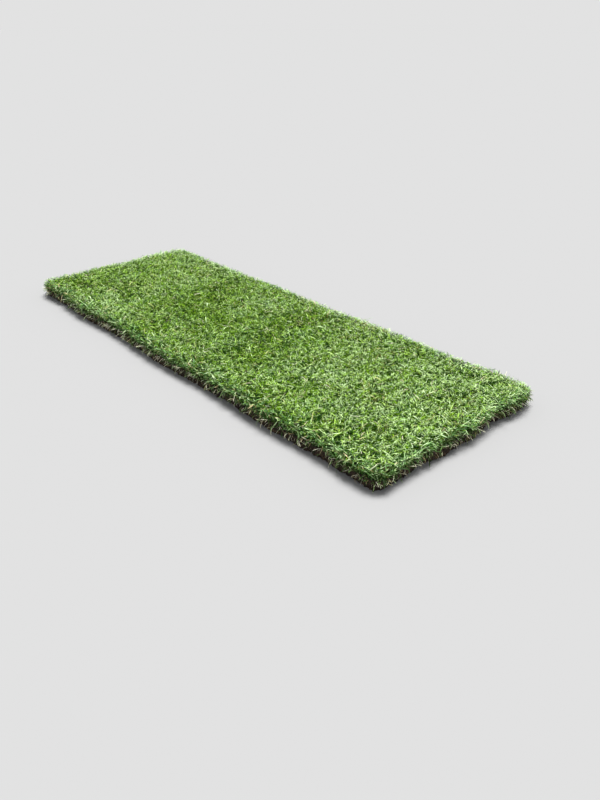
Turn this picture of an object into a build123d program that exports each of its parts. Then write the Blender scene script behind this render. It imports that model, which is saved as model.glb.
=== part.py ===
from build123d import *
import math
import os

# One strip of cut turf, lying flat as laid: a mat of soil and roots, with the
# mown grass standing on it.
#
# Frame: +X along the strip, with the free end at +X, +Y across it, +Z up.
# The origin is on the underside, under the middle of the strip. Millimetres.

# ---- driving dimensions ------------------------------------------------
strip_length = 1670.0  # cut length of the soil mat
strip_width = 600.0  # cut width of the soil mat
mat_thickness = 30.0  # soil, roots and thatch
grass_height = 32.0  # mown grass above the mat
overhang = 11.0  # how far the grass leans out past the cut edge, on average
undercut = 3.5  # soil that has crumbled away from the lower edge of the cut
mat_corner = 24.0  # how far from a corner the mat's outline starts to turn
grass_corner = 46.0  # the same for the grass, which lies over rounder
shoulder = 15.0  # rounding of the grass along its upper edge
lip = 6.0  # rounding along its lower edge, where it hangs past the soil
box_centre = (2.295, -0.31)  # middle of the grass outline's own box, moved to the origin

# ---- how far each cut edge strays from straight ------------------------
# (distance along the edge, distance outwards from the straight line). The edges
# follow each other anticlockwise, as seen from above.
free_end_mat = [
    (70, -2), (110, -4), (155, -6), (195, -2), (247, 4), (290, -1), (325, 3),
    (385, -2), (445, -7), (485, -1), (530, 4),
]
free_end_grass = [
    (80, -4), (130, -3), (180, 1), (226, -10), (270, 2), (315, 11), (372, 7),
    (440, 0), (485, 1), (525, 6),
]
back_side_mat = [
    (120, 2), (250, -3), (390, 2), (520, 4), (660, -2), (800, -4), (950, 1),
    (1090, 3), (1230, -3), (1370, -1), (1510, 3),
]
back_side_grass = [
    (95, 3), (190, -2), (300, -5), (420, 2), (540, 5), (660, 0), (770, -4),
    (900, 1), (1020, 4), (1140, 0), (1260, -4), (1390, 2), (1490, -2), (1580, 2),
]
far_end_mat = [
    (75, -2), (150, 3), (235, -3), (320, 2), (400, 5), (470, -2), (530, 1),
]
far_end_grass = [
    (90, 2), (150, 5), (225, -4), (300, 1), (380, 6), (450, -3), (520, 2),
]
front_side_mat = [
    (140, -2), (280, 3), (420, 1), (560, -4), (700, 2), (840, 4), (980, -2),
    (1120, -3), (1260, 3), (1400, 2), (1530, -2),
]
front_side_grass = [
    (95, -3), (200, 3), (310, 5), (430, -2), (550, -5), (670, 1), (790, 5),
    (910, 1), (1030, -4), (1150, 2), (1270, 5), (1390, -1), (1490, -3), (1580, 1),
]
mat_edges = [free_end_mat, back_side_mat, far_end_mat, front_side_mat]
grass_edges = [free_end_grass, back_side_grass, far_end_grass, front_side_grass]


def outline(out, corner, edges):
    """Points of a closed outline, out past the cut size, anticlockwise."""
    a, b = strip_length / 2 + out, strip_width / 2 + out
    cut_back = corner * (1 - math.sqrt(0.5))
    sides = [  # start, direction, outward normal, length
        ((a, -b), (0, 1), (1, 0), 2 * b),
        ((a, b), (-1, 0), (0, 1), 2 * a),
        ((-a, b), (0, -1), (-1, 0), 2 * b),
        ((-a, -b), (1, 0), (0, -1), 2 * a),
    ]
    points = []
    for (start, along, normal, length), edge in zip(sides, edges):
        # the rounded corner that this side starts at
        points.append(
            (
                start[0] + (along[0] - normal[0]) * cut_back - box_centre[0],
                start[1] + (along[1] - normal[1]) * cut_back - box_centre[1],
            )
        )
        run = [(corner, 0)] + [(s + out, d) for s, d in edge] + [(length - corner, 0)]
        for s, d in run:
            points.append(
                (
                    start[0] + along[0] * s + normal[0] * d - box_centre[0],
                    start[1] + along[1] * s + normal[1] * d - box_centre[1],
                )
            )
    return points


# ---- soil mat: flat underside, crumbled back a little along its foot ---
with BuildPart() as soil_mat:
    with BuildSketch(Plane.XY):
        with BuildLine():
            Spline(*outline(-undercut, mat_corner, mat_edges), periodic=True)
        make_face()
    with BuildSketch(Plane.XY.offset(mat_thickness)):
        with BuildLine():
            Spline(*outline(0, mat_corner, mat_edges), periodic=True)
        make_face()
    loft(ruled=True)

# ---- grass: one soft closed solid that lies over the edges of the mat --
with BuildPart() as grass_sward:
    with BuildSketch(Plane.XY.offset(mat_thickness)):
        with BuildLine():
            Spline(*outline(overhang, grass_corner, grass_edges), periodic=True)
        make_face()
    extrude(amount=grass_height)
    fillet(grass_sward.faces().sort_by(Axis.Z)[-1].edges(), radius=shoulder)
    fillet(grass_sward.faces().sort_by(Axis.Z)[0].edges(), radius=lip)

soil_mat.part.label = "soil_mat"
grass_sward.part.label = "grass_sward"

os.makedirs("parts", exist_ok=True)
export_step(soil_mat.part, "parts/soil_mat.step")
export_step(grass_sward.part, "parts/grass_sward.step")

for name, part in (("soil_mat", soil_mat.part), ("grass_sward", grass_sward.part)):
    box = part.bounding_box()
    print(name, "volume", round(part.volume), "from", box.min, "to", box.max)
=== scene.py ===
import math

import bmesh
import bpy
import numpy as np
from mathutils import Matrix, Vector
from mathutils.geometry import delaunay_2d_cdt


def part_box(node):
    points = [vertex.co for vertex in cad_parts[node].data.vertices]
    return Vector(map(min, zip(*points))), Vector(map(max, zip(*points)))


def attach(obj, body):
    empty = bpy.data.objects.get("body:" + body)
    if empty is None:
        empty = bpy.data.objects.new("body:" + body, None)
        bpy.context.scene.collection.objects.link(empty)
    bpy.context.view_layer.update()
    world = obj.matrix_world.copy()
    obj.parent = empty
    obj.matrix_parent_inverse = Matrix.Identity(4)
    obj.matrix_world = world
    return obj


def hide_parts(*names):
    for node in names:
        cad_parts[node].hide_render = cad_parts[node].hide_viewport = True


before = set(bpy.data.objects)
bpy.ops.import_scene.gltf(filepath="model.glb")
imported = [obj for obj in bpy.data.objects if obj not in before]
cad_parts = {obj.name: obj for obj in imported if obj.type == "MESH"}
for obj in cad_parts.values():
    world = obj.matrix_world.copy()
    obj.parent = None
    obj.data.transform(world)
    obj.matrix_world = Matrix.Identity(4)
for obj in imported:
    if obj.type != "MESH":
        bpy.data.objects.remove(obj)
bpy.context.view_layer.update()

rng = np.random.default_rng(20)
share = 1.0

MAT_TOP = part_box("soil_mat")[1].z
SWARD_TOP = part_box("grass_sward")[1].z


# ---------------------------------------------------------------- noise
_perm = np.random.default_rng(7).permutation(256)
_perm = np.concatenate([_perm, _perm, _perm])
_grad = np.random.default_rng(8).normal(size=(256, 3))
_grad /= np.linalg.norm(_grad, axis=1)[:, None]
_spot = np.random.default_rng(9).random((256, 3))
_tuft = np.random.default_rng(10).random((1024, 4))


def noise(p, scale=1.0, seed=0.0):
    """Smooth noise from about -1 to 1. scale is the size of its lumps, in metres."""
    p = np.asarray(p, float) / scale + seed * 17.31
    i = np.floor(p).astype(int)
    f = p - i
    w = f * f * f * (f * (f * 6 - 15) + 10)
    out = 0.0
    for dx in (0, 1):
        for dy in (0, 1):
            for dz in (0, 1):
                h = _perm[_perm[_perm[(i[:, 0] + dx) & 255] + ((i[:, 1] + dy) & 255)] + ((i[:, 2] + dz) & 255)]
                d = f - (dx, dy, dz)
                v = (_grad[h] * d).sum(1)
                v = v * (w[:, 0] if dx else 1 - w[:, 0])
                v = v * (w[:, 1] if dy else 1 - w[:, 1])
                v = v * (w[:, 2] if dz else 1 - w[:, 2])
                out = out + v
    return out * 1.7


def layers(p, scale, octaves=3, seed=0.0, gain=0.5):
    total, size, norm = 0.0, 1.0, 0.0
    for k in range(octaves):
        total = total + size * noise(p, scale / 2**k, seed + k)
        norm += size
        size *= gain
    return total / norm


def cells(p, scale, seed=0.0):
    """Distance to the nearest of scattered points: 0 in the middle of a lump, about 1 in the gap between two."""
    p = np.asarray(p, float) / scale + seed * 13.7
    i = np.floor(p).astype(int)
    best = np.full(len(p), 9.0)
    for dx in (-1, 0, 1):
        for dy in (-1, 0, 1):
            for dz in (-1, 0, 1):
                c = i + (dx, dy, dz)
                h = _perm[_perm[_perm[c[:, 0] & 255] + (c[:, 1] & 255)] + (c[:, 2] & 255)]
                best = np.minimum(best, np.linalg.norm(c + _spot[h] - p, axis=1))
    return best


def flat(p):
    """The same points at height 0, for patterns that don't change with height."""
    p = np.asarray(p, float)
    return np.concatenate([p[:, :2], np.zeros((len(p), 1))], 1)


# ---------------------------------------------------------------- the cut outlines, read from the frame
def outline_at(node, z, step):
    """The closed outline of a CAD node at height z, anticlockwise, with points a step apart."""
    bm = bmesh.new()
    bm.from_mesh(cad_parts[node].data)
    bmesh.ops.remove_doubles(bm, verts=bm.verts[:], dist=2e-5)
    cut = bmesh.ops.bisect_plane(bm, geom=bm.verts[:] + bm.edges[:] + bm.faces[:], plane_co=(0, 0, z), plane_no=(0, 0, 1))
    near = {}
    for e in cut["geom_cut"]:
        if isinstance(e, bmesh.types.BMEdge):
            a, b = e.verts
            near.setdefault(a, []).append(b)
            near.setdefault(b, []).append(a)
    start = max(near, key=lambda v: v.co.x - v.co.y)  # the corner at +X, -Y
    loop, last, here = [start], None, start
    while len(loop) <= len(near) + 2:
        ahead = [v for v in near[here] if v is not last]
        if not ahead or ahead[0] is start:
            break
        last, here = here, ahead[0]
        loop.append(here)
    pts = np.array([v.co[:2] for v in loop])
    bm.free()
    x, y = pts.T
    if (x * np.roll(y, -1) - y * np.roll(x, -1)).sum() < 0:
        pts = np.concatenate([pts[:1], pts[:0:-1]])
    closed = np.concatenate([pts, pts[:1]])
    run = np.concatenate([[0], np.cumsum(np.linalg.norm(np.diff(closed, axis=0), axis=1))])
    at = np.linspace(0, run[-1], int(round(run[-1] / step)), endpoint=False)
    return np.stack([np.interp(at, run, closed[:, k]) for k in (0, 1)], 1)


def outward(loop, reach=3):
    """Unit outward normals of an anticlockwise loop."""
    t = np.roll(loop, -reach, 0) - np.roll(loop, reach, 0)
    n = np.stack([t[:, 1], -t[:, 0]], 1)
    return n / np.linalg.norm(n, axis=1)[:, None]


class Edge:
    """An outline, with the depth inside it and the way out of it at any place, looked up from a fine grid."""

    def __init__(self, loop, step=0.004, margin=0.06):
        self.loop, self.out = loop, outward(loop)
        self.low, self.step = loop.min(0) - margin, step
        self.n = np.ceil((loop.max(0) + margin - self.low) / step).astype(int) + 1
        gx, gy = np.meshgrid(*(self.low[k] + np.arange(self.n[k]) * step for k in (0, 1)), indexing="ij")
        p = np.stack([gx.ravel(), gy.ravel()], 1)
        made = np.empty((len(p), 3))
        for s in range(0, len(p), 8000):
            q = p[s : s + 8000]
            k = ((q[:, :1] - loop[:, 0]) ** 2 + (q[:, 1:] - loop[:, 1]) ** 2).argmin(1)
            made[s : s + 8000, 0] = -((q - loop[k]) * self.out[k]).sum(1)
            made[s : s + 8000, 1:] = self.out[k]
        self.grid = made.reshape(self.n[0], self.n[1], 3)

    def at(self, p):
        """Depth inside the outline (negative outside), and the outward direction."""
        t = (np.asarray(p, float)[:, :2] - self.low) / self.step
        i = np.clip(np.floor(t).astype(int), 0, self.n - 2)
        f = np.clip(t - i, 0, 1)[:, :, None]
        g = self.grid
        x, y = i.T
        v = (g[x, y] * (1 - f[:, 0]) + g[x + 1, y] * f[:, 0]) * (1 - f[:, 1]) + (g[x, y + 1] * (1 - f[:, 0]) + g[x + 1, y + 1] * f[:, 0]) * f[:, 1]
        way = v[:, 1:] / np.maximum(np.linalg.norm(v[:, 1:], axis=1)[:, None], 1e-6)
        return v[:, 0], way


mat = Edge(outline_at("soil_mat", MAT_TOP - 0.001, 0.004))
sward = Edge(outline_at("grass_sward", (MAT_TOP + SWARD_TOP) / 2, 0.004))


def mesh_object(name, verts, quads=None, tris=None, smooth=True):
    me = bpy.data.meshes.new(name)
    verts = np.ascontiguousarray(verts, np.float32)
    parts = [x for x in (quads, tris) if x is not None and len(x)]
    loops = np.concatenate([x.ravel() for x in parts]).astype(np.int32)
    sizes = np.concatenate([np.full(len(x), x.shape[1]) for x in parts])
    me.vertices.add(len(verts))
    me.vertices.foreach_set("co", verts.ravel())
    me.loops.add(len(loops))
    me.loops.foreach_set("vertex_index", loops)
    me.polygons.add(len(sizes))
    me.polygons.foreach_set("loop_start", np.concatenate([[0], np.cumsum(sizes)[:-1]]).astype(np.int32))
    me.polygons.foreach_set("use_smooth", np.full(len(sizes), smooth))
    me.update(calc_edges=True)
    me.validate()
    ob = bpy.data.objects.new(name, me)
    bpy.context.scene.collection.objects.link(ob)
    return ob


def set_uv(ob, per_vertex=None, per_corner=None):
    """The piece's own map, which its material reads."""
    me = ob.data
    layer = me.uv_layers.new(name="OFBake", do_init=False)
    if per_corner is None:
        index = np.empty(len(me.loops), np.int32)
        me.loops.foreach_get("vertex_index", index)
        per_corner = per_vertex[index]
    layer.uv.foreach_set("vector", np.ascontiguousarray(per_corner, np.float32).ravel())
    layer.active_render = True


def adopt(ob, node):
    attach(ob, "root")
    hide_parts(node)
    print(ob.name, sum(len(p.vertices) - 2 for p in ob.data.polygons), "triangles")


# ---------------------------------------------------------------- materials
def srgb(r, g, b):
    def one(c):
        c /= 255
        return c / 12.92 if c <= 0.04045 else ((c + 0.055) / 1.055) ** 2.4

    return (one(r), one(g), one(b), 1.0)


class Nodes:
    def __init__(self, name):
        self.mat = bpy.data.materials.new(name)
        self.mat.use_nodes = True
        self.nt = self.mat.node_tree
        self.nt.nodes.clear()
        self.out = self.nt.nodes.new("ShaderNodeOutputMaterial")

    def add(self, kind, **values):
        n = self.nt.nodes.new(kind)
        for k, v in values.items():
            setattr(n, k, v)
        return n

    def link(self, a, b):
        self.nt.links.new(a, b)

    def ramp(self, source, stops):
        n = self.add("ShaderNodeValToRGB")
        e = n.color_ramp.elements
        while len(e) > 1:
            e.remove(e[-1])
        e[0].position, e[0].color = stops[0]
        for at, colour in stops[1:]:
            e.new(at).color = colour
        self.link(source, n.inputs["Fac"])
        return n.outputs["Color"]

    def mix(self, factor, a, b, kind="MIX"):
        n = self.add("ShaderNodeMix", data_type="RGBA", blend_type=kind)
        for value, socket in ((factor, n.inputs[0]), (a, n.inputs[6]), (b, n.inputs[7])):
            if isinstance(value, (int, float, tuple)):
                socket.default_value = value
            else:
                self.link(value, socket)
        return n.outputs[2]

    def maths(self, operation, a, b):
        n = self.add("ShaderNodeMath", operation=operation)
        for value, socket in ((a, n.inputs[0]), (b, n.inputs[1])):
            if isinstance(value, (int, float)):
                socket.default_value = value
            else:
                self.link(value, socket)
        return n.outputs[0]

    def span(self, source, a, b, c=0.0, d=1.0):
        n = self.add("ShaderNodeMapRange", interpolation_type="SMOOTHSTEP")
        self.link(source, n.inputs[0])
        for k, v in zip((1, 2, 3, 4), (a, b, c, d)):
            n.inputs[k].default_value = v
        return n.outputs[0]

    def noise(self, vector, scale, detail=3.0, rough=0.55, distort=0.0):
        n = self.add("ShaderNodeTexNoise")
        self.link(vector, n.inputs["Vector"])
        n.inputs["Scale"].default_value = scale
        n.inputs["Detail"].default_value = detail
        n.inputs["Roughness"].default_value = rough
        n.inputs["Distortion"].default_value = distort
        return n.outputs["Fac"]


def fibre_material(name, blade, foot, tip, rough, through, foot_to, specular=0.5):
    """A material for blades and fibres: across the map runs the tint of each one, and up it the way from root to tip."""
    m = Nodes(name)
    uv = m.add("ShaderNodeUVMap", uv_map="OFBake").outputs["UV"]
    part = m.add("ShaderNodeSeparateXYZ")
    m.link(uv, part.inputs[0])
    tint, along = part.outputs[0], part.outputs[1]
    body, base, end = m.ramp(tint, blade), m.ramp(tint, foot), m.ramp(tint, tip)
    # uneven colour in streaks along each blade
    stretch = m.add("ShaderNodeVectorMath", operation="MULTIPLY")
    m.link(uv, stretch.inputs[0])
    stretch.inputs[1].default_value = (150.0, 5.0, 1.0)
    streak = m.noise(stretch.outputs[0], 1.0, 2.0, 0.6)
    body = m.mix(m.span(streak, 0.38, 0.68, 0.0, 0.6), body, m.mix(1.0, body, srgb(200, 206, 170), "MULTIPLY"))
    # painted shade: towards the root each blade turns to its foot colours, dark as the shade deep in the grass
    colour = m.mix(m.span(along, foot_to[0], foot_to[1]), base, body)
    colour = m.mix(m.span(along, 0.80, 1.0, 0.0, 0.8), colour, end)
    p = m.add("ShaderNodeBsdfPrincipled")
    m.link(colour, p.inputs["Base Color"])
    m.link(m.span(streak, 0.3, 0.7, rough[0], rough[1]), p.inputs["Roughness"])
    p.inputs["Specular IOR Level"].default_value = specular
    bump = m.add("ShaderNodeBump")
    bump.inputs["Strength"].default_value = 0.25
    bump.inputs["Distance"].default_value = 0.0006
    m.link(streak, bump.inputs["Height"])
    m.link(bump.outputs[0], p.inputs["Normal"])
    if through:
        t = m.add("ShaderNodeBsdfTranslucent")
        m.link(m.mix(0.35, colour, srgb(168, 207, 66)), t.inputs["Color"])
        mix = m.add("ShaderNodeMixShader")
        mix.inputs[0].default_value = through
        m.link(p.outputs[0], mix.inputs[1])
        m.link(t.outputs[0], mix.inputs[2])
        m.link(mix.outputs[0], m.out.inputs["Surface"])
    else:
        m.link(p.outputs[0], m.out.inputs["Surface"])
    return m.mat


grass_mat = fibre_material(
    "grass_blades",
    blade=[
        (0.0, srgb(16, 50, 2)),
        (0.16, srgb(45, 91, 1)),
        (0.34, srgb(101, 148, 2)),
        (0.50, srgb(145, 191, 50)),
        # the palest greens are partly pale leaves and partly painted highlight, where glossy blades catch the light
        (0.64, srgb(177, 210, 120)),
        (0.79, srgb(208, 234, 186)),
        (0.84, srgb(132, 138, 66)),
        (0.90, srgb(200, 206, 146)),
        (1.0, srgb(96, 88, 46)),
    ],
    # foot: near-black greens at the root, painted shade of the lower grass, and dark straw for dead blades
    foot=[
        (0.0, srgb(4, 22, 0)),
        (0.40, srgb(9, 42, 0)),
        (0.75, srgb(17, 62, 0)),
        (0.88, srgb(62, 62, 22)),
        (1.0, srgb(34, 32, 12)),
    ],
    tip=[
        (0.0, srgb(80, 130, 50)),
        (0.40, srgb(153, 198, 104)),
        (0.72, srgb(208, 234, 180)),
        (0.86, srgb(208, 212, 160)),
        (1.0, srgb(112, 98, 56)),
    ],
    rough=(0.44, 0.62),
    through=0.18,
    foot_to=(0.22, 0.82),
    specular=0.04,
)

# the leaves that lean out over the cut are bluer, with pale ends; their greens are painted darker than the top's, as
# painted shade of the shaded rim
edge_mat = fibre_material(
    "edge_blades",
    blade=[
        (0.0, srgb(22, 50, 24)),
        (0.20, srgb(42, 84, 42)),
        (0.42, srgb(78, 130, 62)),
        (0.60, srgb(128, 180, 98)),
        (0.79, srgb(210, 234, 188)),
        (0.84, srgb(140, 126, 84)),
        (0.90, srgb(214, 202, 164)),
        (1.0, srgb(112, 88, 64)),
    ],
    # foot: dark colours at the root, painted shade of the lower grass
    foot=[
        (0.0, srgb(14, 28, 12)),
        (0.40, srgb(30, 52, 20)),
        (0.75, srgb(66, 86, 40)),
        (0.88, srgb(112, 98, 64)),
        (1.0, srgb(54, 44, 28)),
    ],
    tip=[
        (0.0, srgb(76, 126, 84)),
        (0.40, srgb(146, 194, 122)),
        (0.72, srgb(230, 244, 212)),
        (0.86, srgb(218, 208, 172)),
        (1.0, srgb(124, 98, 70)),
    ],
    rough=(0.38, 0.56),
    through=0.22,
    foot_to=(0.08, 0.6),
    specular=0.2,
)

straw_mat = fibre_material(
    "straw_and_roots",
    blade=[
        (0.0, srgb(78, 60, 40)),
        (0.25, srgb(124, 102, 66)),
        (0.5, srgb(180, 168, 112)),
        (0.8, srgb(244, 242, 224)),
        (1.0, srgb(220, 232, 190)),
    ],
    foot=[(0.0, srgb(60, 46, 34)), (0.5, srgb(156, 138, 100)), (0.75, srgb(220, 214, 186)), (1.0, srgb(206, 208, 174))],
    tip=[(0.0, srgb(72, 54, 40)), (0.5, srgb(198, 184, 142)), (0.75, srgb(242, 240, 222)), (1.0, srgb(232, 238, 206))],
    rough=(0.6, 0.8),
    through=0.0,
    foot_to=(0.0, 0.4),
    specular=0.35,
)


def soil_material():
    m = Nodes("soil")
    at = m.add("ShaderNodeTexCoord").outputs["Object"]
    broad = m.noise(at, 9.0, 3.0)
    lumps = m.noise(at, 90.0, 5.0, 0.65, 0.4)
    grain = m.noise(at, 480.0, 4.0, 0.7)
    colour = m.ramp(lumps, [(0.28, srgb(26, 20, 16)), (0.45, srgb(46, 37, 29)), (0.58, srgb(70, 57, 45)), (0.74, srgb(104, 88, 71))])
    colour = m.mix(m.span(broad, 0.4, 0.65, 0.0, 0.45), colour, m.mix(1.0, colour, srgb(158, 148, 140), "MULTIPLY"))
    # grains of sand and bits of dead leaf
    bend = m.add("ShaderNodeTexNoise")
    m.link(at, bend.inputs["Vector"])
    bend.inputs["Scale"].default_value = 260.0
    bent = m.add("ShaderNodeVectorMath", operation="MULTIPLY_ADD")
    m.link(bend.outputs["Color"], bent.inputs[0])
    bent.inputs[1].default_value = (0.006, 0.006, 0.006)
    m.link(at, bent.inputs[2])
    speck = m.add("ShaderNodeTexVoronoi", feature="F1")
    m.link(bent.outputs[0], speck.inputs["Vector"])
    speck.inputs["Scale"].default_value = 420.0
    near = m.span(speck.outputs["Distance"], 0.14, 0.34, 1.0, 0.0)
    which = m.add("ShaderNodeSeparateColor")
    m.link(speck.outputs["Color"], which.inputs[0])
    rare = m.span(which.outputs[0], 0.84, 0.90, 0.0, 0.8)
    colour = m.mix(m.maths("MULTIPLY", near, rare), colour, srgb(136, 114, 86))
    colour = m.mix(m.span(grain, 0.35, 0.7, 0.0, 0.6), colour, m.mix(1.0, colour, srgb(128, 120, 112), "MULTIPLY"))
    # on top, between the shoots, dark greenish thatch, painted near-black green as the shade at the bottom of the gaps
    facing = m.add("ShaderNodeSeparateXYZ")
    m.link(m.add("ShaderNodeNewGeometry").outputs["Normal"], facing.inputs[0])
    thatch = m.ramp(lumps, [(0.3, srgb(6, 20, 1)), (0.55, srgb(14, 36, 3)), (0.75, srgb(40, 54, 12))])
    colour = m.mix(m.span(facing.outputs[2], 0.6, 0.85), colour, thatch)
    p = m.add("ShaderNodeBsdfPrincipled")
    m.link(colour, p.inputs["Base Color"])
    m.link(m.span(grain, 0.3, 0.7, 0.82, 0.98), p.inputs["Roughness"])
    p.inputs["Specular IOR Level"].default_value = 0.25
    bump = m.add("ShaderNodeBump")
    bump.inputs["Strength"].default_value = 0.9
    bump.inputs["Distance"].default_value = 0.003
    m.link(m.maths("ADD", m.maths("MULTIPLY", grain, 0.4), lumps), bump.inputs["Height"])
    m.link(bump.outputs[0], p.inputs["Normal"])
    m.link(p.outputs[0], m.out.inputs["Surface"])
    return m.mat


soil_mat = soil_material()


def crumb_material():
    """Crumbs are one tint each, which is where they lie across the map, and painted darker below, as painted shade on
    their undersides.
    """
    m = Nodes("soil_crumbs")
    uv = m.add("ShaderNodeUVMap", uv_map="OFBake").outputs["UV"]
    part = m.add("ShaderNodeSeparateXYZ")
    m.link(uv, part.inputs[0])
    colour = m.ramp(part.outputs[0], [(0.0, srgb(30, 24, 19)), (0.4, srgb(56, 45, 36)), (0.75, srgb(88, 73, 58)), (0.93, srgb(122, 104, 84)), (1.0, srgb(160, 140, 110))])
    # painted shade: the lower side of each crumb is darker
    colour = m.mix(m.span(part.outputs[1], 0.0, 0.8, 0.6, 0.0), colour, m.mix(1.0, colour, srgb(120, 112, 104), "MULTIPLY"))
    at = m.add("ShaderNodeTexCoord").outputs["Object"]
    grain = m.noise(at, 700.0, 4.0, 0.7)
    p = m.add("ShaderNodeBsdfPrincipled")
    m.link(colour, p.inputs["Base Color"])
    m.link(m.span(grain, 0.3, 0.7, 0.8, 0.98), p.inputs["Roughness"])
    p.inputs["Specular IOR Level"].default_value = 0.25
    bump = m.add("ShaderNodeBump")
    bump.inputs["Strength"].default_value = 0.8
    bump.inputs["Distance"].default_value = 0.0015
    m.link(grain, bump.inputs["Height"])
    m.link(bump.outputs[0], p.inputs["Normal"])
    m.link(p.outputs[0], m.out.inputs["Surface"])
    return m.mat


crumb_mat = crumb_material()


# ---------------------------------------------------------------- the soil mat
ROWS = 14


def soil_side():
    """Rings of points up the cut sides of the mat, crumbled in and out. Returns the rings and their outward way."""
    low = outline_at("soil_mat", 0.0005, 0.0022)
    depth, out = mat.at(low)
    top = low + out * depth[:, None]
    n = len(low)
    t = np.repeat(np.arange(ROWS) / (ROWS - 1), n)
    z = MAT_TOP * (1 - (1 - t) ** 1.15)
    p = np.concatenate([np.tile(low, (ROWS, 1)) * (1 - t[:, None]) + np.tile(top, (ROWS, 1)) * t[:, None], z[:, None]], 1)
    o3 = np.tile(np.concatenate([out, np.zeros((n, 1))], 1), (ROWS, 1))
    height = z / MAT_TOP
    bent = p + 0.0025 * np.stack([noise(p, 0.009, 7), noise(p, 0.009, 8), noise(p, 0.009, 9)], 1)
    clod = np.clip(1 - cells(bent, 0.0095, 2) / 0.8, 0, 1)
    small = np.clip(1 - cells(bent, 0.0048, 3) / 0.8, 0, 1)
    push = 0.0030 * layers(p, 0.024, 3, 1) + 0.0060 * (clod**0.8 - 0.45) + 0.0032 * (small - 0.4)
    push -= 0.0055 * np.clip(noise(p, 0.045, 4), 0, 1)
    push -= 0.0030 * np.clip((0.5 - height) * 2, 0, 1) * np.clip(0.4 + noise(flat(p), 0.09, 5), 0, 1)
    push = np.clip(push, -0.013, 0.0045)
    p = p + o3 * push[:, None]
    middle = (height > 0.02) & (height < 0.98)
    p[:, 2] += np.where(middle, 0.0009 * noise(p, 0.006, 6), 0)
    p[:, 2] = np.clip(p[:, 2], 0, None)
    return p.reshape(ROWS, n, 3), out


def cap(ring, spacing, height_of):
    """Triangles over a ring, with the ring's own points first."""
    gx, gy = np.meshgrid(np.arange(-0.86, 0.86, spacing), np.arange(-0.33, 0.33, spacing))
    pts = np.stack([gx.ravel(), gy.ravel()], 1) + rng.uniform(-0.25, 0.25, (gx.size, 2)) * spacing
    pts = pts[mat.at(pts)[0] > 0.013 + spacing * 0.3]
    every = [Vector(p) for p in ring[:, :2]] + [Vector(p) for p in pts]
    m = len(ring)
    v, _, f, _, _, _ = delaunay_2d_cdt(every, [(i, (i + 1) % m) for i in range(m)], [], 1, 1e-7)
    v = np.array([tuple(x) for x in v])
    assert len(v) == len(every), (len(v), len(every))
    return np.concatenate([v[m:], height_of(flat(v[m:]))[:, None]], 1), np.array([list(t) for t in f if len(t) == 3])


def soil_surface(side):
    """The mat as one closed mesh: crumbly cut sides, a rough top of thatch and a flat, pitted underside."""
    n = side.shape[1]
    top_inner, top_tris = cap(side[-1], 0.016, lambda p: MAT_TOP - 0.0015 + 0.0022 * layers(p, 0.03, 2, 11) + 0.0012 * noise(p, 0.008, 12))
    low_inner, low_tris = cap(side[0], 0.018, lambda p: np.clip(0.0016 * layers(p, 0.045, 2, 13), 0, None))
    band = side.reshape(-1, 3)
    nb = len(band)
    verts = np.concatenate([band, top_inner, low_inner])
    i = np.arange(n)
    j = (i + 1) % n
    quads = np.concatenate([np.stack([r * n + i, r * n + j, (r + 1) * n + j, (r + 1) * n + i], 1) for r in range(ROWS - 1)])
    tt = np.where(top_tris < n, top_tris + (ROWS - 1) * n, top_tris - n + nb)
    lt = np.where(low_tris < n, low_tris, low_tris - n + nb + len(top_inner))

    def turned(tris, up):
        a, b, c = verts[tris[:, 0]], verts[tris[:, 1]], verts[tris[:, 2]]
        wrong = (((b - a)[:, 0] * (c - a)[:, 1] - (b - a)[:, 1] * (c - a)[:, 0]) > 0) != up
        tris = tris.copy()
        tris[wrong] = tris[wrong][:, ::-1]
        return tris

    tt, lt = turned(tt, True), turned(lt, False)
    ob = mesh_object("soil_and_thatch", verts, quads=quads, tris=np.concatenate([tt, lt]))
    # the map: the top and the underside as seen from above, and the cut sides in strips
    strips, high = 6, 0.040
    at, row = np.tile(i, ROWS - 1), np.repeat(np.arange(ROWS - 1), n)
    per = n / strips
    strip = np.minimum((at / per).astype(int), strips - 1)
    corner = []
    for dc, dr in ((0, 0), (1, 0), (1, 1), (0, 1)):
        u = (at + dc - strip * per) / (per + 1)
        v = 0.745 + strip * high + (row + dr) / (ROWS - 1) * (high * 0.9)
        corner.append(np.stack([0.005 + 0.99 * u, v], 1))

    def seen(tris, at_y):
        p = verts[tris.ravel()][:, :2]
        return np.stack([0.5 + p[:, 0] / 1.72, at_y + p[:, 1] / 1.72], 1)

    set_uv(ob, per_corner=np.concatenate([np.stack(corner, 1).reshape(-1, 2), seen(tt, 0.187), seen(lt, 0.555)]))
    ob.data.materials.append(soil_mat)
    return ob


side, side_out = soil_side()
adopt(soil_surface(side), "soil_mat")


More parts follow.
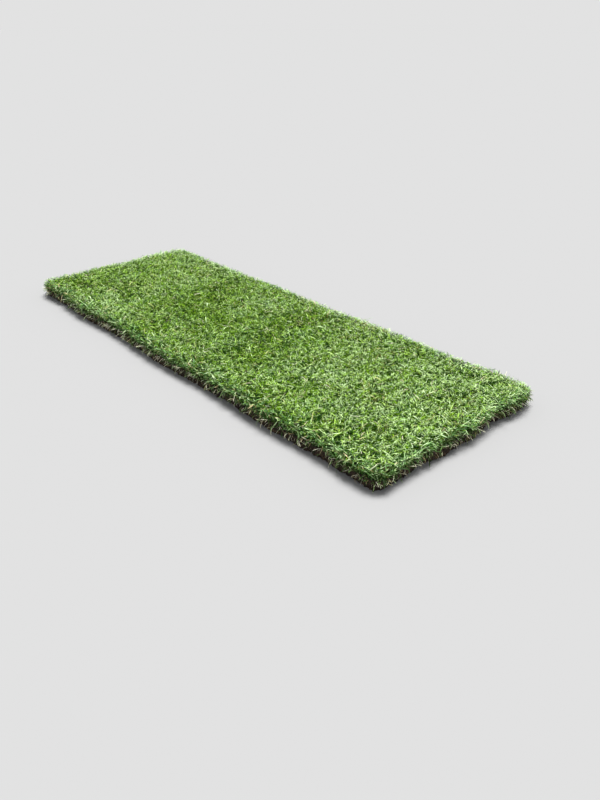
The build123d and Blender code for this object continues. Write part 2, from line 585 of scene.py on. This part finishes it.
def crumbs(count):
    """Clods and grains that stick out of the cut sides, and a few at their foot."""
    me = bmesh.new()
    bmesh.ops.create_icosphere(me, subdivisions=1, radius=1.0)
    ball = np.array([v.co[:] for v in me.verts])
    tri = np.array([[v.index for v in f.verts] for f in me.faces])
    me.free()
    n = side.shape[1]
    r = rng.integers(0, ROWS - 1, count)
    k = rng.integers(0, n, count)
    foot = rng.random(count) < 0.2
    r = np.where(foot, 0, r)
    at = side[r, k]
    radius = 0.0008 + 0.0026 * rng.random(count) ** 2.0
    out = np.concatenate([side_out[k], np.zeros((count, 1))], 1)
    at = at + out * (radius * rng.uniform(-0.2, 0.5, count))[:, None]
    at[:, 2] = np.maximum(at[:, 2] + radius * rng.uniform(-0.3, 0.3, count), radius * 0.55)
    shape = radius[:, None, None] * rng.uniform(0.5, 1.3, (count, 1, 3)) * ball[None] * rng.uniform(0.62, 1.25, (count, len(ball), 1))
    v = at[:, None] + shape
    v[:, :, 2] = np.maximum(v[:, :, 2], 0.0002)
    tris = (tri[None] + (np.arange(count) * len(ball))[:, None, None]).reshape(-1, 3)
    ob = mesh_object("soil_crumbs", v.reshape(-1, 3), tris=tris, smooth=False)
    u = np.clip(rng.beta(1.4, 4.2, count), 0.01, 0.99)[:, None] + 0.004 * ball[None, :, 0]
    # up the map runs the height on each crumb, which the material turns into painted shade below
    w = 0.5 + 0.45 * ball[None, :, 2] + np.zeros((count, 1))
    set_uv(ob, per_vertex=np.stack([u, w], 2).reshape(-1, 2))
    ob.data.materials.append(crumb_mat)
    return ob


adopt(crumbs(1500), "soil_mat")


# ---------------------------------------------------------------- blades
def ribbons(root, azimuth, lean, bend, length, width, twist, tint, levels, sway, floor, along=(0.0, 1.0)):
    """Curved, tapering blades. lean is the angle from upright at the root, bend what it adds up to the tip, twist how far
    the blade turns about its own length at the root and at the tip. Returns vertices, quads, triangles and map places."""
    n = len(root)
    s = np.asarray(levels, float)
    k = np.where(np.abs(bend) < 1e-3, 1e-3, bend)
    a0 = lean[:, None]
    a = a0 + k[:, None] * s[None]
    r = length[:, None] * (np.cos(a0) - np.cos(a)) / k[:, None]
    z = length[:, None] * (np.sin(a) - np.sin(a0)) / k[:, None]
    turn = azimuth[:, None] + sway[:, None] * s[None]
    middle = azimuth[:, None] + 0.5 * sway[:, None] * s[None]
    spine = root[:, None] + np.stack([r * np.cos(middle), r * np.sin(middle), z], 2)
    spine[:, 1:, 2] = np.maximum(spine[:, 1:, 2], floor[:, None] + 0.0004)
    side = np.stack([-np.sin(turn), np.cos(turn), np.zeros_like(turn)], 2)
    face = np.stack([-np.cos(turn) * np.cos(a), -np.sin(turn) * np.cos(a), np.sin(a)], 2)
    tw = twist[0][:, None] + (twist[1] - twist[0])[:, None] * s[None]
    across = np.cos(tw)[..., None] * side + np.sin(tw)[..., None] * face
    shape = np.interp(s, [0, 0.12, 0.55, 0.85, 1.0], [0.62, 0.85, 1.0, 0.7, 0.0])
    half = 0.5 * width[:, None] * shape[None]
    m = len(s)
    left = spine[:, :-1] + across[:, :-1] * half[:, :-1, None]
    right = spine[:, :-1] - across[:, :-1] * half[:, :-1, None]
    verts = np.concatenate([np.stack([left, right], 2).reshape(n, 2 * (m - 1), 3), spine[:, -1:]], 1)
    per = 2 * (m - 1) + 1
    base = np.arange(n) * per
    quads = np.concatenate([np.stack([base + 2 * q, base + 2 * q + 1, base + 2 * q + 3, base + 2 * q + 2], 1) for q in range(m - 2)]) if m > 2 else np.zeros((0, 4), int)
    tris = np.stack([base + per - 3, base + per - 2, base + per - 1], 1)
    sign = np.concatenate([np.tile([1, -1], m - 1) * 0.0022 * np.repeat(shape[:-1], 2), [0]])
    u = np.clip(tint, 0.004, 0.996)[:, None] + sign[None]
    v = along[0] + (along[1] - along[0]) * np.concatenate([np.repeat(s[:-1], 2), s[-1:]])
    v = (v * 0.985 + 0.0075)[None] + np.zeros((n, 1))
    return verts.reshape(-1, 3), quads, tris, np.stack([u, v], 2).reshape(-1, 2)


def tubes(path, width, tint, sides=3, flatness=1.0):
    """Thin round or flattened strands along given paths (strands, points, 3)."""
    n, m = path.shape[:2]
    t = np.gradient(path, axis=1)
    t /= np.maximum(np.linalg.norm(t, axis=2)[..., None], 1e-9)
    ref = np.where(np.abs(t[..., 2:]) > 0.9, (1.0, 0.0, 0.0), (0.0, 0.0, 1.0))
    a = np.cross(t, ref)
    a /= np.maximum(np.linalg.norm(a, axis=2)[..., None], 1e-9)
    b = np.cross(a, t)
    s = np.linspace(0, 1, m)
    taper = np.interp(s, [0, 0.1, 0.8, 1], [0.9, 1, 0.8, 0.25])
    rings = []
    for k in range(sides):
        g = 2 * math.pi * k / sides
        rings.append(path + (a * math.cos(g) + b * math.sin(g) * flatness) * (0.5 * width[:, None] * taper[None])[..., None])
    verts = np.stack(rings, 2)  # n, m, sides, 3
    base = (np.arange(n) * m * sides)[:, None, None]
    q = []
    for k in range(sides):
        k2 = (k + 1) % sides
        r = np.arange(m - 1)[None, :, None] * sides
        q.append(np.concatenate([base + r + k, base + r + k2, base + r + sides + k2, base + r + sides + k], 2).reshape(-1, 4))
    ends = [(np.arange(n) * m * sides)[:, None] + np.arange(sides)[::-1], (np.arange(n) * m * sides + (m - 1) * sides)[:, None] + np.arange(sides)]
    u = np.clip(tint, 0.006, 0.994)[:, None, None] + 0.003 * np.cos(2 * math.pi * np.arange(sides) / sides)[None, None] + np.zeros((1, m, 1))
    v = 0.0075 + 0.985 * s[None, :, None] + np.zeros((n, 1, sides))
    tri = np.concatenate([e[:, :3] for e in ends])
    return verts.reshape(-1, 3), np.concatenate(q), tri, np.stack([u, v], 3).reshape(-1, 2)


class Heap:
    """Gathers blades or strands that become one mesh."""

    def __init__(self):
        self.v, self.q, self.t, self.uv, self.n = [], [], [], [], 0

    def add(self, made):
        v, q, t, uv = made
        self.v.append(v)
        self.q.append(q + self.n)
        self.t.append(t + self.n)
        self.uv.append(uv)
        self.n += len(v)

    def build(self, name, material):
        ob = mesh_object(name, np.concatenate(self.v), quads=np.concatenate(self.q), tris=np.concatenate(self.t))
        set_uv(ob, per_vertex=np.concatenate(self.uv))
        ob.data.materials.append(material)
        return ob


TUFT = 0.0135


def nearest_tuft(p, size=TUFT):
    """The nearest tuft's middle, how far off it is in tuft sizes, and the tuft's own random numbers."""
    q = p[:, :2] / size
    i = np.floor(q).astype(int)
    best, middle, key = np.full(len(p), 9.0), np.zeros((len(p), 2)), np.zeros(len(p), int)
    for dx in (-1, 0, 1):
        for dy in (-1, 0, 1):
            c = i + (dx, dy)
            h = _perm[_perm[c[:, 0] & 255] + (c[:, 1] & 255)]
            spot = c + _spot[h][:, :2]
            d = np.linalg.norm(spot - q, axis=1)
            nearer = d < best
            best = np.where(nearer, d, best)
            middle[nearer] = spot[nearer] * size
            key = np.where(nearer, (h * 7 + c[:, 0] * 131 + c[:, 1] * 241) & 1023, key)
    return middle, best, _tuft[key]


def pits(p):
    """Small gaps here and there, 1 deep in them and 0 elsewhere, where the grass is short and sparse and its blades are
    painted darker, as painted shade.
    """
    return np.clip((-noise(flat(p), 0.0125, 91) - 0.46) / 0.14, 0, 1)


def top_height(p):
    """The height of the mown surface, with its soft lumps, the dome of each tuft and the small gaps."""
    q = flat(p)
    depth, _ = sward.at(q)
    rounding = np.clip((depth + 0.002) / 0.018, 0, 1)
    rounding = np.sqrt(np.clip(1 - (1 - rounding) ** 2, 0, 1))
    _, off, own = nearest_tuft(q)
    lumps = 0.0042 * noise(q, 0.23, 23) + 0.0028 * noise(q, 0.10, 21) + 0.0020 * noise(q, 0.045, 22) - 0.0008
    tuft = 0.0052 * (own[:, 0] - 0.5) - 0.0205 * np.clip(off, 0, 1) ** 2 + 0.0041
    high = MAT_TOP + 0.006 + (SWARD_TOP - MAT_TOP - 0.0075) * rounding + (lumps + tuft - 0.006 * pits(q)) * (0.5 + 0.5 * rounding)
    return np.minimum(high, SWARD_TOP + 0.003)


def patches(p):
    """Slow changes of tint over the strip: yellower and bluer patches a hand or two across."""
    q = flat(p)
    return 0.16 * noise(q, 0.30, 31) + 0.09 * noise(q, 0.11, 32) + 0.06 * noise(q, 0.045, 33)


def hue(p):
    """Where the grass is a little bluer, above 0, or yellower, below 0."""
    q = flat(p)
    return 0.8 * noise(q, 0.12, 81) + 0.7 * noise(q, 0.045, 82)


def thinness(p):
    """Where the grass is thin, and straw and thatch show through."""
    return np.clip(layers(flat(p), 0.15, 3, 41) * 1.7 - 0.35, 0, 1)


def scatter(count, edge, inset=0.0):
    """Random places inside an outline."""
    low, high = edge.loop.min(0), edge.loop.max(0)
    kept = np.zeros((0, 2))
    while len(kept) < count:
        p = rng.uniform(low, high, (int(count * 1.15), 2))
        kept = np.concatenate([kept, p[edge.at(p)[0] > inset]])
    return kept[:count]


def mown(root, azimuth, lean, bend, length, spread, reach_out=0.004):
    """Shortens blades that would stand higher than the mower left them, or reach too far past the sward."""
    k = np.where(np.abs(bend) < 1e-3, 1e-3, bend)
    for _ in range(3):
        r = length * (np.cos(lean) - np.cos(lean + k)) / k
        s_top = np.where(k > 0, np.clip((math.pi / 2 - lean) / np.abs(k), 0, 1), 1)
        high = root[:, 2] + length * (np.sin(lean + k * s_top) - np.sin(lean)) / k
        tip = root[:, :2] + r[:, None] * np.stack([np.cos(azimuth), np.sin(azimuth)], 1)
        top = top_height(tip) + spread
        over = (top - root[:, 2]) / np.maximum(high - root[:, 2], 1e-5)
        length = np.where(high > top, length * np.clip(over, 0.35, 1), length)
        past = -sward.at(tip)[0] - reach_out
        length = np.where(past > 0, length * np.clip(1 - past / np.maximum(r, 1e-3), 0.3, 1), length)
    return length


CUTS = [-0.51, -0.17, 0.17, 0.51]
heaps = [Heap() for _ in range(len(CUTS) + 1)]
edge_heap = Heap()


def shaded(made):
    """Painted shade: blades are painted darker, towards their foot colours, the deeper they stand in the grass, in the
    gaps between tufts and in the small pits, and less so at its rim, where the light gets in."""
    v, q, t, uv = made
    gap = np.clip((nearest_tuft(v)[1] - 0.46) / 0.22, 0, 1)
    level = np.clip((v[:, 2] - MAT_TOP - 0.0096 - 0.004 * gap - 0.014 * pits(v)) / 0.0130, 0, 1)
    level = level * level * (3 - 2 * level)
    inside = np.clip((sward.at(v)[0] + 0.004) / 0.028, 0.65, 1)
    # painted shade: slide the map towards the dark foot colours where the blade stands low
    uv[:, 1] *= 1 - 0.98 * inside * (1 - level)
    return v, q, t, uv


def plant(root, azimuth, lean, bend, length, width, twist, tint, levels, sway, floor, along=(0.0, 1.0), at_edge=None):
    where = np.digitize(root[:, 0], CUTS)
    if at_edge is not None:
        where = np.where(at_edge, len(heaps), where)
    for k, heap in enumerate(heaps + [edge_heap]):
        m = where == k
        if m.any():
            heap.add(shaded(ribbons(root[m], azimuth[m], lean[m], bend[m], length[m], width[m], (twist[0][m], twist[1][m]), tint[m], levels, sway[m], floor[m], along)))


def ground_under(root, azimuth, lean, bend, length):
    """How low a blade may bend: to the mat inside it, and near the floor outside."""
    k = np.where(np.abs(bend) < 1e-3, 1e-3, bend)
    r = length * (np.cos(lean) - np.cos(lean + k)) / k
    tip = root[:, :2] + r[:, None] * np.stack([np.cos(azimuth), np.sin(azimuth)], 1)
    return np.where(mat.at(tip)[0] > -0.001, MAT_TOP - 0.001, 0.002)


def grow(count, leaves, low):
    """Shoots, each with a short stem and leaves on alternate sides of it. They stand in tufts and lean out from the
    middle of their tuft. low is for the short shoots between, which stand in the shade of the others and are painted
    darker as painted shade."""
    p = scatter(count, mat, 0.0006)
    middle, off, own = nearest_tuft(p)
    pull = np.clip(rng.normal(0.45 if not low else 0.1, 0.22, count), 0, 0.94)
    moved = p + (middle - p) * pull[:, None]
    inside = mat.at(moved)[0] > 0.0006
    p = np.where(inside[:, None], moved, p)
    depth, way = mat.at(p)
    edge = np.clip(1 - depth / 0.016, 0, 1)
    out_way = np.arctan2(way[:, 1], way[:, 0])
    away = np.arctan2(*(p - middle).T[::-1])
    root = np.concatenate([p, np.full((count, 1), MAT_TOP - 0.0025)], 1)
    comb = 0.9 * math.pi * noise(flat(root), 0.07, 51) + 2 * math.pi * own[:, 2]
    any_way = rng.uniform(-math.pi, math.pi, count)
    pulls = ((away, 0.4), (comb, 0.4), (1.1, 0.5), (any_way, 0.85))
    y = sum(w * np.sin(a) for a, w in pulls) + 1.5 * edge * np.sin(out_way)
    x = sum(w * np.cos(a) for a, w in pulls) + 1.5 * edge * np.cos(out_way)
    facing = np.arctan2(y, x)
    thin = thinness(root)
    keep = rng.random(count) > 0.40 * thin
    shift = hue(root)
    bluish = rng.random(count) < np.maximum(0.9 * np.clip(1 - depth / 0.036, 0, 1) ** 1.5, 0.30 * np.clip(shift, 0, 1))
    # stems
    if low:
        stem = rng.uniform(0.001, 0.006, count)
    else:
        stem = np.clip(rng.normal(0.0215, 0.003, count) + 0.005 * (own[:, 0] - 0.5), 0.009, 0.029)
    tilt = np.abs(rng.normal(0.22, 0.14, count)) + 0.5 * edge * rng.uniform(0, 1, count)
    tint = 0.670 + patches(root) + 0.09 * (own[:, 1] - 0.5) + rng.normal(0, 0.04, count) - 0.10 * edge
    if low:
        # painted shade: the low shoots are painted darker, and their map stops short of the pale tips, as they stand in
        # the shade of the others
        tint = tint - 0.34
    else:
        m = keep & (rng.random(count) < 0.75)
        n = m.sum()
        zero = np.zeros(n)
        plant(
            root[m], facing[m], tilt[m], zero + 0.05, stem[m] * 1.25, np.clip(rng.normal(0.0015, 0.0003, n), 0.0010, 0.0022),
            (rng.uniform(-1.5, 1.5, n), rng.uniform(-1.5, 1.5, n)), np.clip(tint[m], 0.02, 0.75), (0, 1.0), zero, zero + MAT_TOP - 0.003, (0.0, 0.42),
        )
    lean_dir = np.stack([np.cos(facing) * np.sin(tilt), np.sin(facing) * np.sin(tilt), np.cos(tilt)], 1)
    for leaf in range(leaves):
        level = 1.0 - 0.22 * leaf * rng.uniform(0.4, 1.3, count)
        start = root + lean_dir * (stem * np.clip(level, 0.1, 1))[:, None]
        turn = (leaf % 2) * math.pi * (1 - 0.7 * edge) + (leaf // 2) * 0.9 + rng.normal(0, 0.5, count)
        azimuth = facing + turn
        lean = np.abs(rng.normal(1.28 if not low else 1.05, 0.24, count))
        upright = rng.random(count) < 0.06
        lean = np.where(upright, lean * 0.3, lean) + 0.25 * edge * rng.uniform(0, 1.2, count)
        bend = np.clip(rng.normal(0.20, 0.30, count), -0.4, 1.2) + 0.3 * edge
        if low:
            length = np.clip(rng.normal(0.018, 0.004, count), 0.009, 0.028)
            spread = rng.normal(-0.0135, 0.004, count)
        else:
            length = np.clip(rng.normal(0.0175, 0.0050, count), 0.007, 0.031)
            spread = rng.normal(-0.0006, 0.0022, count)
        width = np.clip(rng.normal(0.00155, 0.00035, count), 0.0009, 0.0025)
        length = mown(start, azimuth, lean, bend, length, spread)
        # leaves differ in tint at random, and the long tail of darker ones is partly painted shade, standing in for
        # leaves shaded by others; upright ones are a little lighter
        own_tint = np.clip(tint + 0.16 - np.abs(rng.normal(0.0, 0.37, count)) + 0.05 * upright, 0.01, 0.74)
        dead = rng.random(count) < (0.006 + 0.20 * thin + (0.01 if low else 0.0))
        own_tint = np.where(dead, rng.uniform(0.82, 0.99, count), own_tint)
        yellow = (rng.random(count) < 0.30 * np.clip(-shift, 0, 1)) & ~dead & (own_tint > 0.4)
        own_tint = np.where(yellow, rng.uniform(0.835, 0.872, count), own_tint)
        lean = np.where(dead, lean + rng.uniform(0.1, 0.6, count), lean)
        m = keep & (rng.random(count) > 0.06 * leaf)
        if not low:
            # few leaves stand in the gaps or reach over them
            over = start[:, :2] + (0.55 * length * np.sin(np.clip(lean, 0, 1.57)))[:, None] * np.stack([np.cos(azimuth), np.sin(azimuth)], 1)
            m &= rng.random(count) > 0.85 * np.maximum(pits(start), pits(over))
        near = m & (depth < 0.030)
        far = m & ~near
        for which, levels in ((near, (0, 0.34, 0.70, 1.0)), (far, (0, 0.55, 1.0))):
            n = which.sum()
            floor = ground_under(start[which], azimuth[which], lean[which], bend[which], length[which])
            plant(
                start[which], azimuth[which], lean[which], bend[which], length[which], width[which],
                (rng.normal(0, 0.5, n), rng.normal(0, 0.9, n)), own_tint[which], levels, rng.normal(0, 0.5, n), floor, (0.0 if low else 0.20, 0.75 if low else 1.0),
                bluish[which],
            )


grow(int(68000 * share), 3, False)
grow(int(16000 * share), 2, True)


def fringe(count):
    """Grass that leans out and hangs over the cut edges, thick in one place and sparse in the next."""
    k = rng.integers(0, len(mat.loop), count)
    out = mat.out[k]
    along = rng.uniform(-0.002, 0.002, count)
    low = rng.random(count) < 0.22  # shoots from the side of the mat
    inset = np.where(low, rng.uniform(0.001, 0.003, count), rng.uniform(0.0, 0.012, count))
    p = mat.loop[k] - out * inset[:, None] + np.stack([-out[:, 1], out[:, 0]], 1) * along[:, None]
    z = np.where(low, MAT_TOP - rng.uniform(0.001, 0.011, count), MAT_TOP + rng.uniform(-0.001, 0.012, count))
    root = np.concatenate([p, z[:, None]], 1)
    thick = np.clip(0.46 + 1.0 * noise(flat(root), 0.05, 61) + 0.5 * noise(flat(root), 0.014, 62), 0.02, 1)
    m = rng.random(count) < thick
    root, out, low = root[m], out[m], low[m]
    n = len(root)
    azimuth = np.arctan2(out[:, 1], out[:, 0]) + rng.normal(0, 0.7, n)
    lean = np.where(low, rng.normal(1.2, 0.4, n), rng.normal(0.9, 0.35, n))
    bend = np.clip(rng.normal(0.8, 0.5, n), -0.2, 2.0)
    length = np.clip(rng.normal(0.023, 0.006, n), 0.009, 0.038)
    width = np.clip(rng.normal(0.0019, 0.0005, n), 0.0010, 0.0032)
    length = mown(root, azimuth, lean, bend, length, rng.normal(0.001, 0.002, n), rng.uniform(0.0, 0.009, n))
    tint = np.clip(0.36 + 0.6 * patches(root) + rng.normal(0, 0.17, n), 0.0, 0.79)
    tint = np.where(rng.random(n) < 0.22, rng.uniform(0.66, 0.79, n), tint)
    dead = rng.random(n) < 0.12
    tint = np.where(dead, rng.uniform(0.82, 0.97, n), tint)
    plant(root, azimuth, lean, bend, length, width, (rng.normal(0, 0.5, n), rng.normal(0, 1.0, n)), tint, (0, 0.34, 0.70, 1.0), rng.normal(0, 0.6, n), np.full(n, 0.002), (0.2, 1.0), np.ones(n, bool))


fringe(int(8000 * share))


def strays(count):
    """Longer leaves that the mower missed. They lie over the top of the others, most of them near the edges."""
    p = scatter(count * 6, mat, 0.001)
    depth, way = mat.at(p)
    p = p[rng.random(len(p)) < 0.10 + 0.9 * np.exp(-depth / 0.012)][:count]
    n = len(p)
    depth, way = mat.at(p)
    edge = np.clip(1 - depth / 0.02, 0, 1)
    out_way = np.arctan2(way[:, 1], way[:, 0])
    root = np.concatenate([p, np.full((n, 1), MAT_TOP + 0.012)], 1)
    azimuth = np.where(rng.random(n) < 0.7 * edge, out_way + rng.normal(0, 0.9, n), rng.uniform(-math.pi, math.pi, n))
    lean = np.abs(rng.normal(0.55, 0.25, n))
    bend = rng.uniform(0.5, 1.5, n)
    length = rng.uniform(0.026, 0.044, n)
    length = mown(root, azimuth, lean, bend, length, rng.uniform(0.002, 0.006, n), rng.uniform(0.002, 0.009, n))
    tint = np.clip(rng.normal(0.6, 0.16, n), 0.1, 0.79)
    tint = np.where(rng.random(n) < 0.15, rng.uniform(0.86, 0.93, n), tint)
    plant(root, azimuth, lean, bend, length, rng.uniform(0.0016, 0.0030, n), (rng.normal(0, 0.5, n), rng.normal(0, 0.9, n)), tint, (0, 0.25, 0.5, 0.75, 1.0), rng.normal(0, 0.7, n), np.full(n, 0.002), (0.25, 1.0), edge > 0.3)


strays(int(1500 * share))


def wisps(count):
    """Long, thin, pale leaves that curl out over the cut edges, most of them at the free end."""
    k = rng.integers(0, len(mat.loop), count * 3)
    at_end = np.clip((mat.loop[k][:, 0] - 0.80) / 0.04, 0, 1)
    root = np.concatenate([mat.loop[k] - mat.out[k] * rng.uniform(0.0, 0.010, len(k))[:, None], (MAT_TOP + rng.uniform(0.002, 0.016, len(k)))[:, None]], 1)
    clump = np.clip(0.5 + 1.1 * noise(flat(root), 0.03, 71), 0.05, 1)
    m = np.nonzero(rng.random(len(k)) < clump * (0.25 + 0.75 * at_end))[0][:count]
    root, out, n = root[m], mat.out[k[m]], len(m)
    azimuth = np.arctan2(out[:, 1], out[:, 0]) + rng.normal(0, 0.8, n)
    lean = rng.uniform(0.5, 1.25, n)
    bend = rng.uniform(0.5, 2.1, n)
    length = mown(root, azimuth, lean, bend, rng.uniform(0.026, 0.056, n), rng.uniform(0.001, 0.007, n), rng.uniform(0.004, 0.016, n))
    tint = np.where(rng.random(n) < 0.7, rng.uniform(0.62, 0.79, n), rng.uniform(0.2, 0.6, n))
    tint = np.where(rng.random(n) < 0.12, rng.uniform(0.86, 0.93, n), tint)
    plant(root, azimuth, lean, bend, length, rng.uniform(0.0009, 0.0018, n), (rng.normal(0, 0.5, n), rng.normal(0, 0.9, n)), tint, (0, 0.2, 0.4, 0.6, 0.8, 1.0), rng.normal(0, 1.0, n), np.full(n, 0.002), (0.3, 1.0), np.ones(n, bool))


wisps(int(1600 * share))

for k, heap in enumerate(heaps):
    adopt(heap.build(f"grass_section_{k + 1}", grass_mat), "grass_sward")
adopt(edge_heap.build("blue_green_leaves", edge_mat), "grass_sward")


# ---------------------------------------------------------------- straw, runners and roots
def wander(start, heading, rise, length, points, curl, wobble):
    """Wandering paths: a heading in plan and a slope, both drifting along the way. rise is the slope at the start and end."""
    n = len(start)
    s = np.linspace(0, 1, points)
    drift = np.cumsum(rng.normal(0, wobble, (n, points)), 1)
    head = heading[:, None] + curl[:, None] * s[None] + drift
    slope = rise[0][:, None] + (rise[1] - rise[0])[:, None] * s[None] + np.cumsum(rng.normal(0, wobble * 0.5, (n, points)), 1)
    step = length[:, None] / (points - 1)
    d = np.stack([np.cos(head) * np.cos(slope), np.sin(head) * np.cos(slope), np.sin(slope)], 2) * step[..., None]
    path = np.concatenate([np.zeros((n, 1, 3)), np.cumsum(d[:, :-1], 1)], 1)
    return start[:, None] + path


def litter(count):
    """Dead blades and clippings that lie in the top of the grass."""
    p = scatter(int(count * 1.6), sward, 0.012)
    p = p[rng.random(len(p)) < 0.35 + 0.65 * thinness(flat(p))][:count]
    n = len(p)
    start = np.concatenate([p, (top_height(flat(p)) - rng.uniform(0.002, 0.009, n))[:, None]], 1)
    path = wander(start, rng.uniform(-math.pi, math.pi, n), (rng.normal(0.1, 0.22, n), rng.normal(-0.05, 0.25, n)), rng.uniform(0.010, 0.034, n), 6, rng.normal(0, 0.9, n), 0.22)
    path[..., 2] = np.clip(path[..., 2], MAT_TOP, SWARD_TOP + 0.002)
    heap = Heap()
    heap.add(tubes(path, rng.uniform(0.0007, 0.0016, n), rng.uniform(0.48, 0.8, n), 3, 0.35))
    return heap.build("straw_litter", straw_mat)


def runners(count):
    """Runners and roots that were cut through and stick out of the soil, or hang down its face."""
    heap = Heap()
    # fine roots, many of them
    n = count
    k = rng.integers(0, side.shape[1], n)
    r = rng.integers(3, ROWS, n)
    start = side[r, k] - np.concatenate([side_out[k], np.zeros((n, 1))], 1) * 0.002
    way = np.arctan2(side_out[k][:, 1], side_out[k][:, 0])
    path = wander(start, way + rng.normal(0, 0.8, n), (rng.normal(-0.1, 0.5, n), rng.normal(-1.3, 0.5, n)), rng.uniform(0.006, 0.022, n), 7, rng.normal(0, 1.2, n), 0.30)
    path[..., 2] = np.maximum(path[..., 2], 0.0006)
    heap.add(tubes(path, rng.uniform(0.0003, 0.0008, n), rng.uniform(0.15, 0.85, n), 3))
    # thicker pale runners, fewer of them, that lie along the edge
    n = count // 2
    k = rng.integers(0, side.shape[1], n)
    r = rng.integers(8, ROWS, n)
    start = side[r, k] - np.concatenate([side_out[k], np.zeros((n, 1))], 1) * 0.004
    way = np.arctan2(side_out[k][:, 1], side_out[k][:, 0])
    turn = rng.choice([-1, 1], n) * rng.uniform(0.1, 1.3, n)
    path = wander(start, way + turn, (rng.normal(0.1, 0.3, n), rng.normal(-0.7, 0.5, n)), rng.uniform(0.014, 0.032, n), 8, rng.normal(0, 0.8, n), 0.16)
    past = np.clip(-sward.at(path.reshape(-1, 3))[0].reshape(n, -1) - 0.006, 0, None)
    path[..., 0] -= past * side_out[k][:, :1]
    path[..., 1] -= past * side_out[k][:, 1:]
    path[..., 2] = np.maximum(path[..., 2], 0.001)
    heap.add(tubes(path, rng.uniform(0.0007, 0.0014, n), rng.uniform(0.6, 1.0, n), 4))
    return heap.build("roots_and_runners", straw_mat)


adopt(litter(500), "grass_sward")
adopt(runners(1000), "soil_mat")


# ---------------------------------------------------------------- floor, light, camera
WORLD = 0.76
KEY = (205.0, 72.0, 8.8, 32.0)  # where it comes from, how high, how strong, how wide
KEY_COLOUR = (1.0, 0.98, 0.94)


def sun(name, azimuth, elevation, strength, angle, colour):
    """A soft light from far off. azimuth is the way that it comes from, and 0 is from -Y."""
    light = bpy.data.lights.new(name, "SUN")
    light.energy, light.angle, light.color = strength, math.radians(angle), colour
    ob = bpy.data.objects.new(name, light)
    bpy.context.scene.collection.objects.link(ob)
    a, e = math.radians(azimuth), math.radians(elevation)
    ob.rotation_mode = "QUATERNION"
    ob.rotation_quaternion = Vector((math.sin(a) * math.cos(e), -math.cos(a) * math.cos(e), math.sin(e))).to_track_quat("Z", "Y")
    return ob


sun("key", *KEY, KEY_COLOUR)

world = bpy.data.worlds.new("studio")
bpy.context.scene.world = world
world.use_nodes = True
world.node_tree.nodes["Background"].inputs[0].default_value = (1, 1, 1, 1)
world.node_tree.nodes["Background"].inputs[1].default_value = WORLD

# the floor is as light as the backdrop, so that they meet without a line
direct = KEY[2] * math.sin(math.radians(KEY[1])) / math.pi
m = Nodes("studio_floor")
p = m.add("ShaderNodeBsdfDiffuse")
p.inputs["Color"].default_value = (*(WORLD / (WORLD + direct * c) for c in KEY_COLOUR), 1)
m.link(p.outputs[0], m.out.inputs["Surface"])
me = bpy.data.meshes.new("studio_floor")
me.from_pydata([(-60, -60, 0), (60, -60, 0), (60, 60, 0), (-60, 60, 0)], [], [(0, 1, 2, 3)])
floor = bpy.data.objects.new("studio_floor", me)
bpy.context.scene.collection.objects.link(floor)
me.materials.append(m.mat)

cam = bpy.data.cameras.new("camera")
cam.sensor_fit = "AUTO"
cam.sensor_width = 36.0
cam.lens = 36.0 * 690.0 / 800.0
cam.clip_start, cam.clip_end = 0.02, 200
camera = bpy.data.objects.new("camera", cam)
bpy.context.scene.collection.objects.link(camera)
a, e = math.radians(48.0), math.radians(29.0)
camera.location = (1.612, -1.226, 0.90)
camera.rotation_mode = "QUATERNION"
camera.rotation_quaternion = Vector((math.sin(a) * math.cos(e), -math.cos(a) * math.cos(e), math.sin(e))).to_track_quat("Z", "Y")
bpy.context.scene.camera = camera

view = bpy.context.scene.view_settings
view.view_transform = "Standard"
view.look = "None"
